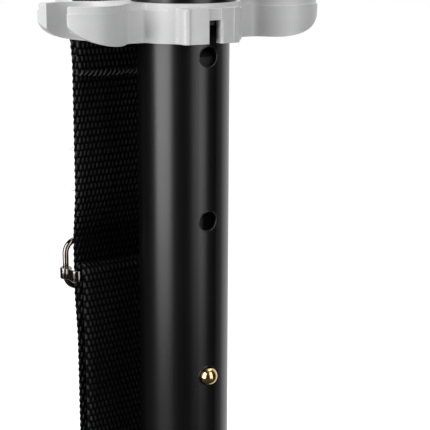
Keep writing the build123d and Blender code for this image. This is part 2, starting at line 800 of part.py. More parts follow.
def make_base_bolt():
    """Bolt through the stem and the foot tube, with its head at -Y."""
    front = -stem_r - bolt_head_height
    shank = along_y(bolt_diameter / 2 - fit_gap, -stem_r, stem_r + nut_thickness + bolt_past_nut, bolt_z)
    head = along_y(bolt_head_diameter / 2, front, -stem_r, bolt_z)
    head = fillet(head.edges().group_by(Axis.Y)[0], bolt_head_rounding)
    socket = extrude(RegularPolygon(bolt_socket_radius, 6), bolt_socket_depth, both=True)
    return shank + head - Pos(0, front, bolt_z) * Rot(90, 0, 0) * socket


def make_base_nut():
    """Hexagon nut on the base bolt."""
    plan = RegularPolygon(nut_across_flats / 2, 6, major_radius=False)
    body = Pos(0, stem_r, bolt_z) * Rot(-90, 0, 0) * extrude(plan, nut_thickness)
    return body - along_y(bolt_diameter / 2, stem_r - cut_past, stem_r + nut_thickness + cut_past, bolt_z)


os.makedirs("parts", exist_ok=True)
save("handle_tube", make_handle_tube())
save("shaft_tube", make_shaft_tube())
save("foot_tube", make_foot_tube())
save("handle_sleeve", make_handle_sleeve())
save("top_glide", make_top_glide())
save("clip_collar", make_clip_collar())
save("strap_anchor", make_strap_anchor())
save("upper_strap_pin", strap_pin(collar_z, strap_distance))
save("lower_strap_pin", strap_pin(anchor_z, anchor_pin_distance))
save("strap", make_strap())
save("slider_frame", make_slider_frame())
save("slider_bar", make_slider_bar())
save("snap_button", make_snap_button())
save("button_spring", make_button_spring())
save("split_bush", make_split_bush())
save("locking_nut", make_locking_nut())
save("grip", make_grip())
save("grip_plug", make_grip_plug())
save("base_stem", make_base_stem())
leg, tip, washer = make_leg(), make_tip(), make_washer()
for name, side_x, side_y in (
    ("front_left", -1, -1), ("front_right", 1, -1), ("rear_left", -1, 1), ("rear_right", 1, 1)
):
    turn = foot_angle(side_x, side_y)
    save(f"{name}_leg", turn * leg)
    save(f"{name}_tip", turn * tip)
    save(f"{name}_washer", turn * washer)
save("handle_rivets", Compound(children=[make_rivet(z) for z in rivet_heights]))
save("base_bolt", make_base_bolt())
save("base_nut", make_base_nut())
print(f"button {button_z:.1f}, collar {collar_z:.1f}, slider {slider_z:.1f}, anchor {anchor_z:.1f}")
print(f"shaft tube {shaft_bottom:.1f} to {shaft_top:.1f}, grip axis {grip_axis_z:.1f}")
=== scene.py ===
import bpy
import bmesh
import json
import math
import random
from mathutils import Matrix, Vector


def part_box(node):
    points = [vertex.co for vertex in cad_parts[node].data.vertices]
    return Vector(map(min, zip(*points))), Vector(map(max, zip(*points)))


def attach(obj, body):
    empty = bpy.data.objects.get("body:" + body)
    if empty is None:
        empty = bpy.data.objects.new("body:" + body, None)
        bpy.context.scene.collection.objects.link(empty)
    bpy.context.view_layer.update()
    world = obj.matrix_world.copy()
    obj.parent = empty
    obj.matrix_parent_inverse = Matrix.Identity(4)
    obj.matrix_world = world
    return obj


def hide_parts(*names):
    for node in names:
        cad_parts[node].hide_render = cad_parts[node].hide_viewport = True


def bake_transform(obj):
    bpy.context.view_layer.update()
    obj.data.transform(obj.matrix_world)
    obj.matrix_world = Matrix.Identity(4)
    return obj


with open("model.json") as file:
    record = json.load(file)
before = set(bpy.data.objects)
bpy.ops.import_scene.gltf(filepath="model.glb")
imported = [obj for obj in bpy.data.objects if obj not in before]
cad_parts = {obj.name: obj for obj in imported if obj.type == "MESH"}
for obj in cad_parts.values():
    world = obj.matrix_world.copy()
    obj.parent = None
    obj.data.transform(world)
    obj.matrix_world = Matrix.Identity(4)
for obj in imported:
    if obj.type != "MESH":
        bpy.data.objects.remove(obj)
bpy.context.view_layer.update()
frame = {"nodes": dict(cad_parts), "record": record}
nodes = frame["nodes"]
mm = 0.001


def middle(node):
    low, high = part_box(node)
    return (low + high) / 2


button = middle("snap_button")  # the camera, the lamps and the row of holes are placed from it
print("frame loaded:", len(nodes), "nodes")

# camera, beside the shaft and a little above the collar

viewpoint = {
    "azimuth": -32.09,  # degrees round the shaft
    "distance": 297.8 * mm,  # from the shaft's axis
    "aboveButton": 110.2 * mm,
    "turn": -1.48,  # degrees off the shaft
    "down": 13.58,
    "roll": 0.23,
    "lens": 104.65,
    "nearest": 10 * mm,  # what is closer than this isn't drawn
}


def placeCamera(v):
    around, heading = math.radians(v["azimuth"]), math.radians(v["azimuth"] + v["turn"])
    down, roll = math.radians(v["down"]), math.radians(v["roll"])
    place = Vector((math.sin(around), -math.cos(around), 0)) * v["distance"]
    place.z = button.z + v["aboveButton"]
    level = math.cos(down)
    ahead = Vector((-math.sin(heading) * level, math.cos(heading) * level, -math.sin(down)))
    right = Vector((math.cos(heading), math.sin(heading), 0))
    tilted = right * math.cos(roll) + right.cross(ahead) * math.sin(roll)
    turned = Matrix((tilted, tilted.cross(ahead), -ahead)).transposed()
    bpy.ops.object.camera_add()
    camera = bpy.context.object
    camera.matrix_world = Matrix.Translation(place) @ turned.to_4x4()
    camera.data.lens = v["lens"]
    camera.data.clip_start = v["nearest"]
    bpy.context.scene.camera = camera


placeCamera(viewpoint)
bpy.context.scene.view_settings.view_transform = "Standard"

# the dark and the light tone of each finish, which its pattern blends

tones = {
    "satinBlackTube": ((0.0005, 0.0005, 0.0005), (0.002, 0.002, 0.0021)),
    "innerTubeBlack": ((0.0006, 0.0006, 0.0006), (0.004, 0.004, 0.0042)),
    "lightGreyPlastic": ((0.54, 0.54, 0.545), (0.68, 0.68, 0.685)),
    "blackMoulding": ((0.004, 0.004, 0.0042), (0.012, 0.012, 0.0125)),
    "polishedBrass": ((0.62, 0.42, 0.17), (0.82, 0.62, 0.33)),
    "darkNickel": ((0.12, 0.102, 0.09), (0.36, 0.32, 0.29)),
    "pinSteel": ((0.42, 0.42, 0.43), (0.62, 0.62, 0.63)),
    "springSteel": ((0.25, 0.26, 0.28), (0.42, 0.43, 0.45)),
    "blackenedRivet": ((0.05, 0.05, 0.052), (0.14, 0.14, 0.145)),
    "zincPlate": ((0.42, 0.42, 0.44), (0.62, 0.62, 0.64)),
    "blackWebbing": ((0.0002, 0.0002, 0.0002), (0.042, 0.042, 0.0425)),
    "blackThread": ((0.01, 0.01, 0.01), (0.075, 0.075, 0.077)),
    "blackFoam": ((0.008, 0.008, 0.0085), (0.035, 0.035, 0.036)),
    "blackPowderCoat": ((0.012, 0.012, 0.0125), (0.028, 0.028, 0.029)),
    "blackRubber": ((0.014, 0.014, 0.0145), (0.042, 0.042, 0.043)),
    "paleFloor": ((0.01, 0.01, 0.01), (0.5, 0.5, 0.5)),
}

# shader maths: a Level is a socket that takes part in sums, and a Finish makes the nodes


class Level:
    def __init__(self, finish, socket):
        self.finish = finish
        self.socket = socket

    def maths(self, operation, first, second=0.0):
        return self.finish.node("ShaderNodeMath", {"operation": operation}, {0: first, 1: second})

    def __add__(self, other):
        return self.maths("ADD", self, other)

    def __sub__(self, other):
        return self.maths("SUBTRACT", self, other)

    def __rsub__(self, other):
        return self.maths("SUBTRACT", other, self)

    def __mul__(self, other):
        return self.maths("MULTIPLY", self, other)

    def __pow__(self, other):
        return self.maths("POWER", self, other)

    def __gt__(self, other):
        return self.maths("GREATER_THAN", self, other)

    def __lt__(self, other):
        return self.maths("LESS_THAN", self, other)

    __radd__ = __add__

    def fraction(self):
        return self.maths("FRACT", self)

    def size(self):
        return self.maths("ABSOLUTE", self)

    def atLeast(self, floor):
        return self.maths("MAXIMUM", self, floor)

    def spread(self, low, high, newLow=0.0, newHigh=1.0):
        return self.finish.node("ShaderNodeMapRange", {"interpolation_type": "SMOOTHSTEP"},
                                {0: self, 1: low, 2: high, 3: newLow, 4: newHigh})


class Finish:
    def __init__(self, name, **fixed):
        self.material = bpy.data.materials.new(name)
        self.material.use_nodes = True
        self.tree = self.material.node_tree
        self.shader = self.tree.nodes["Principled BSDF"]
        for socketName, value in fixed.items():
            self.feed(self.shader.inputs[socketName.replace("_", " ")], value)

    def feed(self, socket, value):
        if isinstance(value, Level):
            self.tree.links.new(value.socket, socket)
        elif socket.type == "RGBA" and len(value) == 3:
            socket.default_value = (*value, 1)
        else:
            socket.default_value = value

    def node(self, kind, settings, inputs, out=0):
        # a shader node, as the Level of its output "out"
        made = self.tree.nodes.new(kind)
        for key, value in settings.items():
            setattr(made, key, value)
        for key, value in inputs.items():
            self.feed(made.inputs[key], value)
        return Level(self, made.outputs[out])

    def place(self):
        return self.node("ShaderNodeTexCoord", {}, {}, "Object")

    def noise(self, scale, detail=3.0, rough=0.5, where=None):
        where = self.place() if where is None else where
        return self.node("ShaderNodeTexNoise", {},
                         {"Vector": where, "Scale": scale, "Detail": detail, "Roughness": rough})

    def lines(self, scale, detail=3.0, rough=0.6):
        # noise drawn out along the axes that have a small scale
        where = self.node("ShaderNodeMapping", {}, {"Vector": self.place(), "Scale": scale})
        return self.noise(1.0, detail, rough, where)

    def cells(self, scale):
        return self.node("ShaderNodeTexVoronoi", {}, {"Vector": self.place(), "Scale": scale}, "Distance")

    def axes(self, where):
        split = self.node("ShaderNodeSeparateXYZ", {}, {0: where})
        return [Level(self, split.socket.node.outputs[n]) for n in range(3)]

    def colour(self, share):
        dark, light = tones[self.material.name]
        tone = self.node("ShaderNodeMix", {"data_type": "RGBA"}, {"Factor": share, 6: dark, 7: light}, 2)
        self.feed(self.shader.inputs["Base Color"], tone)

    def rough(self, level):
        self.feed(self.shader.inputs["Roughness"], level)

    def bump(self, height, strength, depth):
        inputs = {"Height": height, "Strength": strength, "Distance": depth}
        self.feed(self.shader.inputs["Normal"], self.node("ShaderNodeBump", {}, inputs, "Normal"))


def blackTubeFinish():
    f = Finish("satinBlackTube", Specular_IOR_Level=0.6)
    drawn = f.lines((900, 900, 22))
    cloud = f.noise(45.0)
    grain = f.noise(1500.0, detail=2.0)
    speck = (f.cells(260.0) < 0.07) * (f.noise(70.0, detail=2.0) > 0.66)  # dust, in patches
    f.colour(cloud * 0.6 + drawn * 0.3)
    f.rough(0.23 + drawn * 0.05 + cloud * 0.06 + speck * 0.3)
    f.bump(drawn * 0.3 + grain * 0.35 + speck * 2.0, strength=0.1, depth=0.1 * mm)
    return f.material


def innerTubeFinish():
    f = Finish("innerTubeBlack", Specular_IOR_Level=0.1)
    drawn = f.lines((2400, 2400, 25))
    f.colour(drawn)
    f.rough(0.1 + drawn * 0.1)
    f.bump(drawn, strength=0.15, depth=0.1 * mm)
    return f.material


def greyPlasticFinish():
    f = Finish("lightGreyPlastic", Specular_IOR_Level=0.5, Subsurface_Weight=0.06,
               Subsurface_Scale=2 * mm, Subsurface_Radius=(1, 1, 1))
    flow = f.lines((30, 30, 160), detail=4.0, rough=0.55)
    grain = f.noise(1400.0, detail=2.0)
    f.colour(flow * 0.7 + grain * 0.3)
    f.rough(0.26 + flow * 0.12 + grain * 0.06)
    f.bump(grain * 0.5 + f.noise(120.0) * 1.2, strength=0.14, depth=0.2 * mm)
    return f.material


def matteBlackFinish():
    f = Finish("blackMoulding", Specular_IOR_Level=0.3)
    grain = f.noise(1300.0)
    f.colour(f.noise(60.0, detail=4.0))
    f.rough(0.42 + grain * 0.12)
    f.bump(grain, strength=0.2, depth=0.1 * mm)
    return f.material


def brassFinish():
    f = Finish("polishedBrass", Metallic=1.0)
    scratch = f.lines((4000, 600, 600), rough=0.5)
    f.colour(f.noise(900.0))
    f.rough(0.12 + scratch * 0.14)
    f.bump(scratch, strength=0.12, depth=0.05 * mm)
    return f.material


def nickelFinish():
    f = Finish("darkNickel", Metallic=1.0)
    f.colour(f.noise(500.0))
    f.rough(0.04 + f.noise(1500.0) * 0.09)
    f.bump(f.noise(1200.0), strength=0.1, depth=0.05 * mm)
    return f.material


def steelFinish(name, grain):
    f = Finish(name, Metallic=1.0)
    drawn = f.lines(grain, detail=4.0)
    f.colour(drawn)
    f.rough(0.2 + drawn * 0.2)
    f.bump(drawn, strength=0.1, depth=0.1 * mm)
    return f.material


# weave: cords run along the strap in columns, and each float crosses one pick

weave = {
    "sway": 0.5,  # columns by which a cord wanders
    "lean": 0.18,  # columns by which a float leans over one pick
    "sides": 13.0,  # how fast a float falls off to its sides
    "ends": 5.6,  # and to its ends
    "crown": 0.7,  # power that fills it out
    "selvedge": (13.9, 16.6),  # columns from the middle over which the edge grows lighter
    "fold": 7.5 * mm,  # height of the fold above the bar's middle
    "crease": (2 * mm, 7.5 * mm, 0.25, 1.0),  # distances from the fold, and the share of colour left there: painted shade near the fold
    "shadow": (-9 * mm, -6 * mm, 0.55, 1.0),  # heights below the fold, and the share of colour left there: painted shadow under the fold
    "rubbedColumns": (-10.0, 10.0),  # columns and heights over which the face is made lighter
    "rubbedHeights": (8 * mm, 16 * mm),
}


def webbingFinish(w):
    f = Finish("blackWebbing", Specular_IOR_Level=0.06)
    where = f.node("ShaderNodeUVMap", {"uv_map": "weave"}, {})
    across, along, _ = f.axes(where)
    row = (along * 0.5).fraction() > 0.5  # every second pick is half a column over
    sway = (f.noise(0.45, detail=2.0, where=where) - 0.5) * w["sway"]
    column = (across + row * 0.5 + sway).fraction() - 0.5
    pick = along.fraction() - 0.5
    slant = column + pick * w["lean"]
    sides = (1 - (slant * slant) * w["sides"]).atLeast(0.0)
    ends = (1 - (pick * pick) * w["ends"]).atLeast(0.0)
    yarn = (sides * ends) ** w["crown"]
    uneven = f.noise(0.9, detail=1.0, where=where)
    cloud = f.noise(0.07, detail=2.0, where=where).spread(0.35, 0.68)
    selvedge = across.size().spread(*w["selvedge"])
    above = f.axes(f.place())[2] - (middle("slider_bar").z + w["fold"])
    # painted shade: the colour is darkened near the fold over the bar and in a painted shadow under it
    crease = above.size().spread(*w["crease"]) * above.spread(*w["shadow"])
    # a lighter tone over a patch of columns above the fold
    lighterPatch = across.spread(*w["rubbedColumns"]) * above.spread(*w["rubbedHeights"])
    f.colour(yarn * (0.1 + uneven * 0.5 + cloud * 0.4 + selvedge + lighterPatch * 0.5) * crease)
    f.rough(0.62 - yarn * 0.2)
    f.bump(yarn, strength=0.8, depth=0.4 * mm)
    return f.material


def threadFinish():
    f = Finish("blackThread", Specular_IOR_Level=0.4)
    twist = f.lines((2600, 2600, 2600), detail=2.0, rough=0.5)
    f.colour(twist)
    f.rough(0.45 + twist * 0.2)
    f.bump(twist, strength=0.4, depth=0.1 * mm)
    return f.material


def foamFinish():
    f = Finish("blackFoam", Specular_IOR_Level=0.3)
    pores = f.cells(1500.0)
    soft = f.noise(220.0, detail=4.0)
    f.colour(pores * 0.7 + soft * 0.3)
    f.rough(0.72 + soft * 0.16)
    f.bump(pores + soft * 0.5, strength=0.5, depth=0.3 * mm)
    return f.material


def rubberFinish():
    f = Finish("blackRubber", Specular_IOR_Level=0.4)
    bloom = f.noise(90.0, detail=5.0, rough=0.6)
    f.colour(bloom)
    f.rough(0.52 + bloom * 0.2)
    f.bump(f.noise(1100.0) + bloom, strength=0.25, depth=0.2 * mm)
    return f.material


def powderFinish():
    f = Finish("blackPowderCoat", Specular_IOR_Level=0.5)
    peel = f.noise(650.0, detail=2.0)
    f.colour(f.noise(30.0))
    f.rough(0.3 + peel * 0.12)
    f.bump(peel, strength=0.2, depth=0.2 * mm)
    return f.material


finishes = {
    "black_tube": blackTubeFinish(),
    "inner_tube": innerTubeFinish(),
    "dark_plastic": matteBlackFinish(),
    "grey_plastic": greyPlasticFinish(),
    "pin_steel": steelFinish("pinSteel", (60, 2500, 2500)),
    "webbing": webbingFinish(weave),
    "slider_metal": nickelFinish(),
    "button_brass": brassFinish(),
    "spring_steel": steelFinish("springSteel", (2500, 2500, 60)),
    "grip_foam": foamFinish(),
    "base_steel": powderFinish(),
    "rivet_metal": steelFinish("blackenedRivet", (900, 900, 900)),
    "bolt_steel": steelFinish("zincPlate", (700, 700, 700)),
    "tip_rubber": rubberFinish(),
}
thread = threadFinish()



def dress(piece, finish):
    piece.data.materials.clear()
    piece.data.materials.append(finish)


slots = {part["node"]: part["material_slot"] for part in frame["record"]["subparts"]}
bodyOf = {node: body for body, held in frame["record"]["behaviour"]["bodies"].items() for node in held}
for node, slotName in slots.items():
    dress(nodes[node], finishes[slotName])
print("finishes made:", len(finishes) + 1)


def alone(piece):
    # selects one object and makes it active
    bpy.ops.object.select_all(action="DESELECT")
    piece.select_set(True)
    bpy.context.view_layer.objects.active = piece


def added(name, data):
    # a new object in the scene, selected and active
    piece = bpy.data.objects.new(name, data)
    bpy.context.scene.collection.objects.link(piece)
    alone(piece)
    return piece


def applied(piece, kind, **settings):
    modifier = piece.modifiers.new(kind.title(), kind)
    for key, value in settings.items():
        setattr(modifier, key, value)
    alone(piece)
    bpy.ops.object.modifier_apply(modifier=modifier.name)


def merged(piece, distance, flat=0.0):
    # joins places that lie together, and faces that meet at less than this many degrees
    alone(piece)
    bpy.ops.object.mode_set(mode="EDIT")
    bpy.ops.mesh.select_all(action="SELECT")
    bpy.ops.mesh.remove_doubles(threshold=distance)
    if flat:
        bpy.ops.mesh.dissolve_limited(angle_limit=math.radians(flat))
    bpy.ops.object.mode_set(mode="OBJECT")


# broken edges: the bevel's width, its steps and the least angle in degrees that gets one

edgeWork = {
    "merge": 0.001 * mm,
    "flat": 0.4,  # degrees
    "largeFaces": 60,  # how much they count in the shading
}

brokenEdges = {
    "clip_collar": (0.28 * mm, 3, 32),
    "shaft_tube": (0.3 * mm, 2, 40),
    "slider_bar": (0.5 * mm, 3, 32),
    "handle_tube": (0.2 * mm, 2, 40),
    "foot_tube": (0.2 * mm, 2, 40),
    "grip": (0.8 * mm, 3, 32),
    "grip_plug": (0.3 * mm, 2, 32),
    "handle_sleeve": (0.25 * mm, 2, 32),
    "strap_anchor": (0.35 * mm, 3, 32),
    "split_bush": (0.15 * mm, 2, 40),
    "locking_nut": (0.35 * mm, 3, 28),
    "base_stem": (0.4 * mm, 2, 32),
    "front_left_tip": (0.5 * mm, 2, 28),
    "front_right_tip": (0.5 * mm, 2, 28),
    "rear_left_tip": (0.5 * mm, 2, 28),
    "rear_right_tip": (0.5 * mm, 2, 28),
}


def pieceName(node):
    # the node's words in camelCase; a single word gets another, as it would be the node's own name
    first, *others = node.split("_")
    return first + "".join(word.title() for word in others) if others else "hand" + first.title()


def rounded(node, width, steps, angle):
    # a copy of a solid with its sharp edges broken
    piece = added(pieceName(node), nodes[node].data.copy())
    bpy.ops.mesh.customdata_custom_splitnormals_clear()
    merged(piece, edgeWork["merge"], edgeWork["flat"])
    applied(piece, "BEVEL", width=width, segments=steps, limit_method="ANGLE",
            angle_limit=math.radians(angle), use_clamp_overlap=True, miter_outer="MITER_ARC")
    bpy.ops.object.shade_smooth()
    applied(piece, "WEIGHTED_NORMAL", weight=edgeWork["largeFaces"], keep_sharp=True)
    dress(piece, finishes[slots[node]])
    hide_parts(node)
    return piece


for node, (width, steps, angle) in brokenEdges.items():
    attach(rounded(node, width, steps, angle), bodyOf[node])
print("edges broken on", len(brokenEdges), "pieces")

# leaf spring, whose front leg gives way with the button while the rest stays in the foot tube: here a copy
# of it with its edges broken

leafSpring = {
    "edge": (0.08 * mm, 2, 40),  # its bevel, as in brokenEdges
    "held": 3.2 * mm,  # behind the front of the leg, from where the strip stays still
    "moving": 0.6 * mm,  # up to where it goes along with the button
}


def makeSpring(w):
    low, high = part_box("button_spring")
    piece = rounded("button_spring", *w["edge"])
    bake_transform(piece)


makeSpring(leafSpring)
print("leaf spring made")

# beads: round each leg where it meets the hub, and round each hole of the shaft tube

weld = {
    "radius": 8.3 * mm,  # of the leg
    "height": 71.9 * mm,  # of the leg's middle line at the hub
    "bead": 1.15 * mm,
    "steps": 156,
    "rippleSteps": 6,
    "ripple": 0.09,  # share by which the bead swells and thins
}

holeRim = {
    "radius": 2.4 * mm,
    "pitch": 39 * mm,
    "below": 4,  # holes under the button at rest
    "above": 2,
    "bead": 0.16 * mm,
    "steps": 64,
    "rippleSteps": 1,
    "ripple": 0.0,
}


def curveAlong(name, kind, spots, radius, steps):
    # a curve of round section through the spots
    curve = bpy.data.curves.new(name, "CURVE")
    curve.dimensions = "3D"
    curve.bevel_depth = radius
    curve.bevel_resolution = steps
    run = curve.splines.new(kind)
    run.points.add(len(spots) - 1)
    for point, spot in zip(run.points, spots):
        point.co = (*spot, 1)
    return curve, run


def solidOf(name, curve):
    added(name, curve)
    bpy.ops.object.convert(target="MESH")
    return bpy.context.object


def ringAlong(name, spots, swells, radius, steps):
    # closed ring of wire or bead through the spots, thicker at each by the share of its swell
    curve, run = curveAlong(name, "POLY", spots, radius, steps)
    run.use_cyclic_u = True
    for point, swell in zip(run.points, swells):
        point.radius = 1 + swell
    return solidOf(name, curve)


def saddleBead(name, drum, height, b):
    # bead round a bore or a leg, on the side of the drum that faces +X
    spots, swells = [], []
    for n in range(b["steps"]):
        angle = 2 * math.pi * n / b["steps"]
        side, rise = b["radius"] * math.cos(angle), b["radius"] * math.sin(angle)
        swell = math.cos(2 * math.pi * n / b["rippleSteps"]) + random.uniform(-0.5, 0.5)
        spots.append((math.sqrt(drum * drum - side * side), side, height + rise))
        swells.append(b["ripple"] * swell)
    return ringAlong(name, spots, swells, b["bead"], 3)


def placedCopy(first, name, angle, lift, slotName, body):
    # a copy of the bead with its own mesh, turned round the cane and lifted to its place
    piece = added(name, first.data.copy())
    piece.rotation_euler.z = angle
    piece.location.z = lift
    bpy.ops.object.transform_apply(location=True, rotation=True, scale=True)
    bpy.ops.object.shade_smooth()
    dress(piece, finishes[slotName])
    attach(piece, body)


def makeWelds(w):
    low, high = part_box("base_stem")
    first = saddleBead("weld", high.x, w["height"], w)
    for end, side in (("front", "Left"), ("front", "Right"), ("rear", "Left"), ("rear", "Right")):
        foot = middle(f"{end}_{side.lower()}_tip")
        placedCopy(first, f"{end}{side}Weld", math.atan2(foot.y, foot.x), 0, "base_steel", "foot")
    bpy.data.objects.remove(first)


def makeHoleRims(h):
    low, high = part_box("shaft_tube")
    first = saddleBead("rim", high.x, button.z, h)
    for n in range(-h["below"], h["above"] + 1):
        name = f"holeRim{n + h['below'] + 1}"
        placedCopy(first, name, -math.pi / 2, n * h["pitch"], "black_tube", "shaft")
    bpy.data.objects.remove(first)


random.seed(5)
makeWelds(weld)
makeHoleRims(holeRim)
print("weld beads and hole rims made")

# slider's wire: a closed oval of round wire with its butt weld at the top

sliderWire = {
    "thickness": 1.58 * mm,
    "solidThickness": 1.4 * mm,  # of the frame's own wire, whose middle line this one keeps
    "corner": 3.3 * mm,
    "cornerSteps": 12,
    "weldSwell": 0.1,  # share by which the butt weld is thicker
    "weldPlace": 6 * mm,
    "weldReach": 1 * mm,  # to each side
    "weldSteps": 4,
}


def makeWire(w):
    low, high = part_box("slider_frame")
    centre = (low + high) / 2
    inset = w["solidThickness"] / 2
    wide, tall = (high.x - low.x) / 2 - inset, (high.z - low.z) / 2 - inset
    outline = []
    for turn, (across, up) in enumerate(((1, 1), (-1, 1), (-1, -1), (1, -1))):
        bend = (across * (wide - w["corner"]), up * (tall - w["corner"]))
        outline += arcPoints(bend, w["corner"], 90 * turn, 90, w["cornerSteps"])
        if turn == 0:  # the weld follows, on the top run
            steps, step = w["weldSteps"], w["weldReach"] / w["weldSteps"]
            outline += [(w["weldPlace"] + n * step, tall) for n in range(steps, -steps - 1, -1)]
    spots, swells = [], []
    for x, z in outline:
        off = abs(x - w["weldPlace"]) / w["weldReach"]
        spots.append((x, centre.y, centre.z + z))
        swells.append(w["weldSwell"] * max(0.0, 1 - off * off) * (z > 0))
    made = ringAlong("sliderWire", spots, swells, w["thickness"] / 2, 7)
    bpy.ops.object.shade_smooth()
    dress(made, finishes["slider_metal"])
    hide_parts("slider_frame")
    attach(made, "shaft")


# strap: one length of webbing, sewn round the upper pin and over the slider's bar

webbing = {
    "halfWidth": 19 * mm,
    "halfThickness": 0.75 * mm,
    "gap": 0.3 * mm,  # to what it goes round, and between its layers
    "pinRadius": 1.75 * mm,
    "easing": 12 * mm,  # length over which a loop closes
    "tail": 15 * mm,  # sewn end under the upper pin
    "bow": 12 * mm,  # length over which it bows out behind the slider
    "foldTail": 14 * mm,  # sewn end behind the slider's bar
    "column": 1.14 * mm,  # from one warp cord to the next
    "pick": 1.7 * mm,
    "rowsPerPick": 2,
    "sleeking": 3,  # times that the bends of its route are eased
    "scallop": 0.22 * mm,  # depth of the dips along the selvedges
    "selvedge": 0.95,  # share of the half width from where it dips
    # shares of the half width and, at each, of the half thickness
    "section": [(-1, 0.45), (-0.965, 0.98), (-0.92, 1.0), (-0.87, 0.9), (-0.6, 0.9), (-0.3, 0.9), (0, 0.9),
                (0.3, 0.9), (0.6, 0.9), (0.87, 0.9), (0.92, 1.0), (0.965, 0.98), (1, 0.45)],
}


def arcPoints(centre, radius, start, turn, steps=14):
    spots = []
    for n in range(steps + 1):
        angle = math.radians(start + turn * n / steps)
        spots.append((centre[0] + radius * math.cos(angle), centre[1] + radius * math.sin(angle)))
    return spots


def strapRoute(w):
    # middle line of the webbing as (y, z) places
    upper, lower = middle("upper_strap_pin"), middle("lower_strap_pin")
    wireLow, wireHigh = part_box("slider_frame")
    barLow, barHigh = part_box("slider_bar")
    thick = w["halfThickness"]
    away, layer = w["gap"] + thick, thick + w["gap"] / 2
    loop = w["pinRadius"] + away
    behind = wireLow.y - away
    barFront, barBack = barLow.y - away, behind - 2 * thick - w["gap"]
    barY, barLoop = (barFront + barBack) / 2, (barBack - barFront) / 2
    ease, bow, barTop = w["easing"], w["bow"], barHigh.z
    backY = lower.y + loop
    route = [(upper.y - layer, upper.z - w["tail"]), (upper.y - layer, upper.z - ease)]
    route += arcPoints((upper.y, upper.z), loop, 180, -180)
    route += [(upper.y + layer, upper.z - ease), (upper.y + layer, wireHigh.z + bow)]
    route += [(behind, wireHigh.z), (behind, wireLow.z)]
    route += [(backY + (behind - backY) / 3, wireLow.z - bow)]
    route += arcPoints((lower.y, lower.z), loop, 0, -180)
    route += arcPoints((barY, barTop), barLoop, 180, -180)
    route += [(barBack, barTop - w["foldTail"])]
    return route


def evened(route, step):
    # the same line with places at equal steps along it
    spots, left = [Vector(route[0])], step
    for a, b in zip(route, route[1:]):
        a, b = Vector(a), Vector(b)
        length, run = (b - a).length, left
        while run <= length:
            spots.append(a.lerp(b, run / length))
            run += step
        left = run - length
    return spots


def sleeked(spots, passes):
    # the same line with its bends eased, where each place moves toward its neighbours
    for _ in range(passes):
        eased = [(a + 2 * b + c) / 4 for a, b, c in zip(spots, spots[1:], spots[2:])]
        spots = [spots[0], *eased, spots[-1]]
    return spots


def makeStrap(w):
    # a ring of points round the section for each row, joined to the next, with the weave's own UV map
    step = w["pick"] / w["rowsPerPick"]
    line = sleeked(evened(strapRoute(w), step), w["sleeking"])
    mesh = bmesh.new()
    layer = mesh.loops.layers.uv.new("weave")
    rings = []
    for n, spot in enumerate(line):
        ahead = (line[min(n + 1, len(line) - 1)] - line[max(n - 1, 0)]).normalized()
        outward = Vector((0, ahead.y, -ahead.x))
        dip = w["scallop"] if n % w["rowsPerPick"] else 0
        ring = []
        for side in (1, -1):
            for share, thick in w["section"][::side]:
                x = share * (w["halfWidth"] - (dip if abs(share) > w["selvedge"] else 0))
                base = Vector((x, spot.x, spot.y))
                vert = mesh.verts.new(base + outward * side * thick * w["halfThickness"])
                ring.append((vert, (x / w["column"], n / w["rowsPerPick"])))
        rings.append(ring)
    for a, b in zip(rings, rings[1:]):
        for i in range(len(a)):
            j = (i + 1) % len(a)
            corners = (a[i], b[i], b[j], a[j])
            face = mesh.faces.new([vert for vert, _ in corners])
            for loop, (_, place) in zip(face.loops, corners):
                loop[layer].uv = place
    for ring in (rings[0][::-1], rings[-1]):
        mesh.faces.new([vert for vert, _ in ring])
    bmesh.ops.recalc_face_normals(mesh, faces=mesh.faces)
    data = bpy.data.meshes.new("strap")
    mesh.to_mesh(data)
    mesh.free()
    piece = added("strapWebbing", data)
    bpy.ops.object.shade_smooth_by_angle(angle=math.radians(50))
    dress(piece, finishes["webbing"])
    return piece, (len(line) - 1) * step, line


makeWire(sliderWire)
strap, strapLength, strapLine = makeStrap(webbing)

# sewing: a row of slanted thread at the end of each fold, on the front and the back

sewing = {
    "thread": 0.2 * mm,
    "length": 1.45 * mm,
    "pitch": 1.25 * mm,
    "slant": -45,
    "slantScatter": 14,
    "fromEnd": 0.5 * mm,
    "fromSelvedge": 1.2 * mm,
    "droop": 0.35 * mm,  # how far the row bends down at its middle
    "droopTurn": 90,  # radians for each metre across
    "heightScatter": 0.15 * mm,
}

# a few loose fibres that stand out from the selvedges; the ranges in brackets are drawn from at random

fraying = {
    "fibres": 22,
    "thickness": 0.04 * mm,
    "byPin": (4, 24),  # rows of the strap that two in three start from
    "belowSlider": (60, 150),  # and the others
    "out": (0.5 * mm, 2.2 * mm),
    "drop": (-1.5 * mm, 0.6 * mm),
    "sway": (-0.6 * mm, 0.6 * mm),
    "rise": 0.3 * mm,  # of their middle
    "rootDepth": 0.5 * mm,
}


def threadAlong(name, spots, radius, steps):
    # a soft line through the spots, made a solid thread with closed ends
    curve, run = curveAlong(name, "NURBS", spots, radius, steps)
    curve.use_fill_caps = True
    run.order_u = 3
    run.use_endpoint_u = True
    run.resolution_u = 3
    piece = solidOf(name, curve)
    merged(piece, 0.0001 * mm)
    return piece


def joined(name, parts, finish):
    bpy.ops.object.select_all(action="DESELECT")
    for part in parts:
        part.select_set(True)
    bpy.context.view_layer.objects.active = parts[0]
    bpy.ops.object.join()
    piece = bpy.context.object
    piece.name = name
    bpy.ops.object.transform_apply(location=True, rotation=True, scale=True)
    bpy.ops.object.shade_smooth()
    dress(piece, finish)
    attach(piece, "shaft")
    return piece


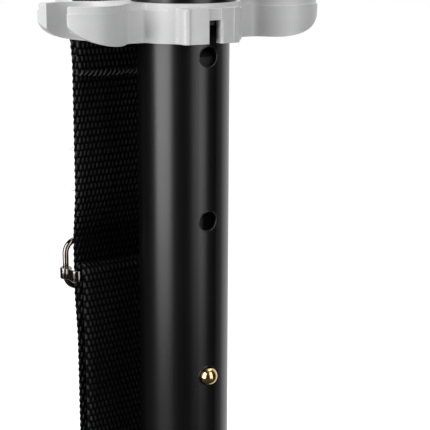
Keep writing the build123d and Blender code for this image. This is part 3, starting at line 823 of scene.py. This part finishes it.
def makeStitches(s, w):
    half, sunk = s["length"] / 2, s["thread"] / 2
    spots = [(-half, 0, 2 * sunk), (-0.7 * half, 0, -sunk), (0, 0, -1.6 * sunk),
             (0.7 * half, 0, -sunk), (half, 0, 2 * sunk)]
    first = threadAlong("stitch", spots, s["thread"], 2)
    stand = Matrix.Rotation(math.radians(90), 4, "X")  # the stitch's own top turns to the front
    thick, upper, lower = w["halfThickness"], strapLine[0], strapLine[-1]
    under = 3 * thick + w["gap"]  # from a layer's middle to the far face of the next one
    rows = [(upper, -thick, -1), (upper, under, 1), (lower, thick, 1), (lower, -under, -1)]
    reach = w["halfWidth"] - s["fromSelvedge"]
    count = round(2 * reach / s["pitch"])
    places = []
    for end, off, side in rows:
        facing = Matrix.Rotation(0 if side < 0 else math.pi, 4, "Z") @ stand.inverted()
        for n in range(count + 1):
            x = -reach + 2 * reach * n / count
            slant = s["slant"] + random.uniform(-s["slantScatter"], s["slantScatter"])
            scatter = random.uniform(-s["heightScatter"], s["heightScatter"])
            droop = s["droop"] * math.cos(x * s["droopTurn"]) + scatter
            spot = (x, end.x + off, end.y + s["fromEnd"] - droop)
            turned = Matrix.Rotation(math.radians(slant), 4, "Z")
            places.append(Matrix.Translation(spot) @ facing @ turned)
    stitches = [first] + [added("stitch", first.data.copy()) for _ in places[1:]]
    for stitch, place in zip(stitches, places):
        stitch.matrix_world = place
    return joined("strapStitches", stitches, thread)


def makeFibres(s, w):
    fibres = []
    for n in range(s["fibres"]):
        side = -1 if n % 4 else 1
        spot = strapLine[random.randrange(*(s["byPin"] if n % 3 else s["belowSlider"]))]
        out, drop, sway = [random.uniform(*s[key]) for key in ("out", "drop", "sway")]
        root = side * (w["halfWidth"] - s["rootDepth"])
        spots = [(root, spot.x, spot.y),
                 (root + side * 0.5 * out, spot.x + sway, spot.y + s["rise"]),
                 (root + side * out, spot.x + 1.5 * sway, spot.y + drop)]
        fibres.append(threadAlong("fibre", spots, s["thickness"], 1))
    return joined("strapFibres", fibres, thread)


random.seed(7)
stitches, fibres = makeStitches(sewing, webbing), makeFibres(fraying, webbing)
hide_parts("strap")
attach(strap, "shaft")
print("strap made:", round(strapLength, 3), "m of webbing")

# studio: floor, lamps and world

studio = {
    "floorRadius": 4.0,
    "glow": (0.3, 0.8, 0.4, 0.95),  # radii, and how much the floor is lifted to white there
    "backdrop": (0.37, 0.74, 0.008, 1.0),  # from the dark front to the white back, in reflections
    "backdropTurn": -10,
    "bounce": 0.1,  # share of the floor's light that reaches the cane's soft sides
    "aim": 50 * mm,  # height above the button that the lamps point at
    "left": {"turn": -52, "size": (0.85, 1.3), "distance": 1.0, "height": 0.7, "power": 16},
    "right": {"turn": 41, "size": (0.67, 1.3), "distance": 1.1, "height": 0.65, "power": 5.8},
    "front": {"turn": 45, "size": (0.6, 0.6), "distance": 0.9, "height": 1.25, "power": 2.8},
    "above": {"turn": 160, "size": (1.2, 1.2), "distance": 0.4, "height": 1.7, "power": 12},
}


def towardBackdrop(s):
    # level direction from the camera to the backdrop behind the cane
    toward = math.radians(viewpoint["azimuth"] + s["backdropTurn"])
    return -math.sin(toward), math.cos(toward), 0.0


def makeFloor(s):
    bpy.ops.object.select_all(action="DESELECT")
    bpy.ops.mesh.primitive_circle_add(vertices=96, radius=s["floorRadius"], fill_type="NGON")
    floor = bpy.context.object
    floor.name = "studioFloor"
    f = Finish("paleFloor", Roughness=0.9, Emission_Color=(1, 1, 1))
    seen, soft, glossy = [f.node("ShaderNodeLightPath", {}, {}, f"Is {kind} Ray")
                          for kind in ("Camera", "Diffuse", "Glossy")]
    f.colour(seen + soft * s["bounce"])
    away = f.node("ShaderNodeVectorMath", {"operation": "LENGTH"}, {0: f.place()}, "Value")
    level = f.node("ShaderNodeVectorMath", {"operation": "NORMALIZE"}, {0: f.place()})
    behind = f.node("ShaderNodeVectorMath", {"operation": "DOT_PRODUCT"},
                    {0: level, 1: towardBackdrop(s)}, "Value")
    lift = seen * away.spread(*s["glow"]) + glossy * behind.spread(*s["backdrop"])
    f.feed(f.shader.inputs["Emission Strength"], lift)
    dress(floor, f.material)


def makeLamp(name, s):
    lamp = s[name]
    angle = math.radians(viewpoint["azimuth"] + lamp["turn"])
    place = Vector((math.sin(angle), -math.cos(angle), 0)) * lamp["distance"]
    place.z = lamp["height"]
    aim = Vector((0, 0, button.z + s["aim"]))
    bpy.ops.object.light_add(type="AREA", location=place)
    made = bpy.context.object
    made.name = name
    made.rotation_euler = (aim - place).to_track_quat("-Z", "Y").to_euler()
    made.data.shape = "RECTANGLE"
    made.data.size, made.data.size_y = lamp["size"]
    made.data.energy = lamp["power"]


def makeWorld(s):
    # white to the camera; what it lights and what reflects it goes from the dark front to the white back
    world = bpy.data.worlds.new("paleStudio")
    bpy.context.scene.world = world
    world.use_nodes = True
    tree = world.node_tree
    tree.nodes.clear()

    def add(kind, **settings):
        made = tree.nodes.new(kind)
        for key, value in settings.items():
            setattr(made, key, value)
        return made

    out = add("ShaderNodeOutputWorld")
    place = add("ShaderNodeTexCoord")
    facing = add("ShaderNodeVectorMath", operation="DOT_PRODUCT")
    facing.inputs[1].default_value = towardBackdrop(s)
    tree.links.new(place.outputs["Generated"], facing.inputs[0])
    ramp = add("ShaderNodeMapRange", interpolation_type="SMOOTHSTEP")
    tree.links.new(facing.outputs["Value"], ramp.inputs[0])
    for slot, value in enumerate(s["backdrop"]):
        ramp.inputs[slot + 1].default_value = value
    path = add("ShaderNodeLightPath")
    strength = add("ShaderNodeMix", data_type="FLOAT")
    tree.links.new(path.outputs["Is Camera Ray"], strength.inputs[0])
    tree.links.new(ramp.outputs[0], strength.inputs[2])
    strength.inputs[3].default_value = 1.0
    back = add("ShaderNodeBackground")
    tree.links.new(strength.outputs[0], back.inputs["Strength"])
    back.inputs["Color"].default_value = (1, 1, 1, 1)
    tree.links.new(back.outputs[0], out.inputs[0])


makeFloor(studio)
for lampName in ("left", "right", "front", "above"):
    makeLamp(lampName, studio)
makeWorld(studio)
print("studio made")
